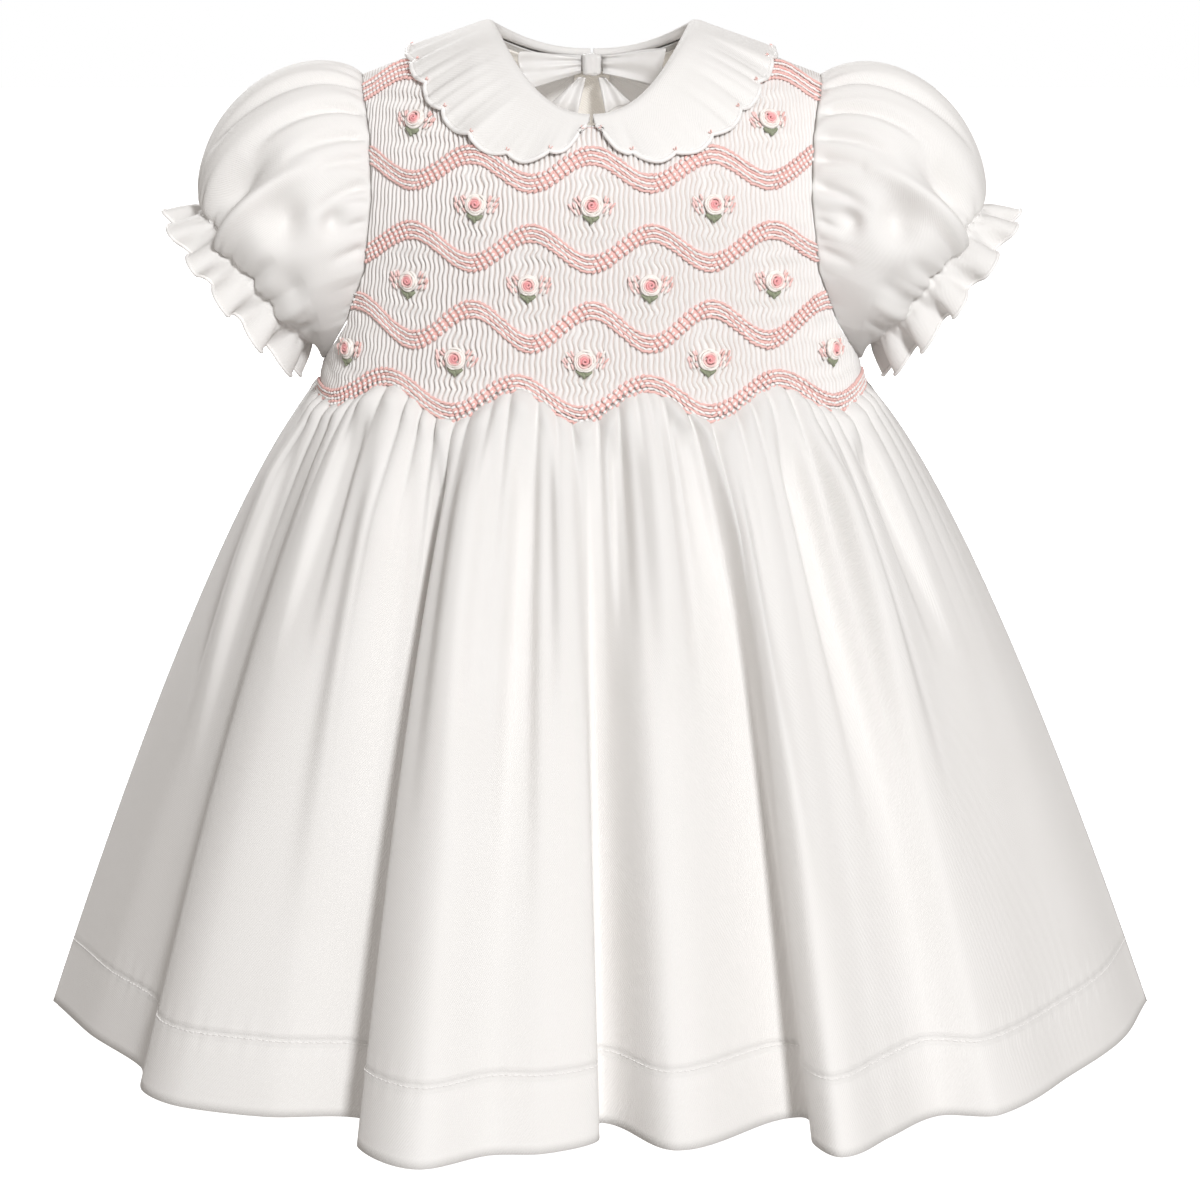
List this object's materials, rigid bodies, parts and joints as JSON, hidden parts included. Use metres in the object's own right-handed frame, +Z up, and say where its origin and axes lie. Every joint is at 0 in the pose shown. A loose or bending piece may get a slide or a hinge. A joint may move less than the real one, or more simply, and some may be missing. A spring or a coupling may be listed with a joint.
{
  "type": "smocked christening dress for a baby, short puff sleeves, filled out as worn",
  "caption": "Baby's christening dress with a smocked front yoke, scalloped collar, puff sleeves with ruffled cuffs and a gathered flared skirt.",
  "frame": {"origin": "midway between the shoulders at the base of the neck, where the wearer's shoulders hold the dress up", "axes": "+Z up, +X to the dress's left arm (to the picture's right), the front faces -Y"},
  "size_m": [0.45, 0.3408, 0.3985],
  "materials": {
    "cotton": "warm white cotton twill, matt with a faint sheen",
    "cotton_inside": "cream inner side of the cotton, matt",
    "satin": "white satin ribbon, glossy",
    "rose_thread": "stranded embroidery thread in cream, pink and sage green"
  },
  "bodies": {
    "root": {"smocked_front": "cotton", "back_left": "cotton", "back_right": "cotton", "placket": "cotton_inside", "neck_binding": "cotton_inside", "skirt_front": "cotton", "skirt_back": "cotton", "sleeve_left": "cotton", "sleeve_right": "cotton", "collar_left": "cotton", "collar_right": "cotton", "bow_knot": "satin", "bow_loop_left": "satin", "bow_loop_right": "satin", "bow_tail_left": "satin", "bow_tail_right": "satin", "rose_a1": "rose_thread", "rose_a2": "rose_thread", "rose_b1": "rose_thread", "rose_b2": "rose_thread", "rose_b3": "rose_thread", "rose_c1": "rose_thread", "rose_c2": "rose_thread", "rose_c3": "rose_thread", "rose_c4": "rose_thread", "rose_d1": "rose_thread", "rose_d2": "rose_thread", "rose_d3": "rose_thread", "rose_d4": "rose_thread", "rose_d5": "rose_thread"}
  },
  "joints": []
}
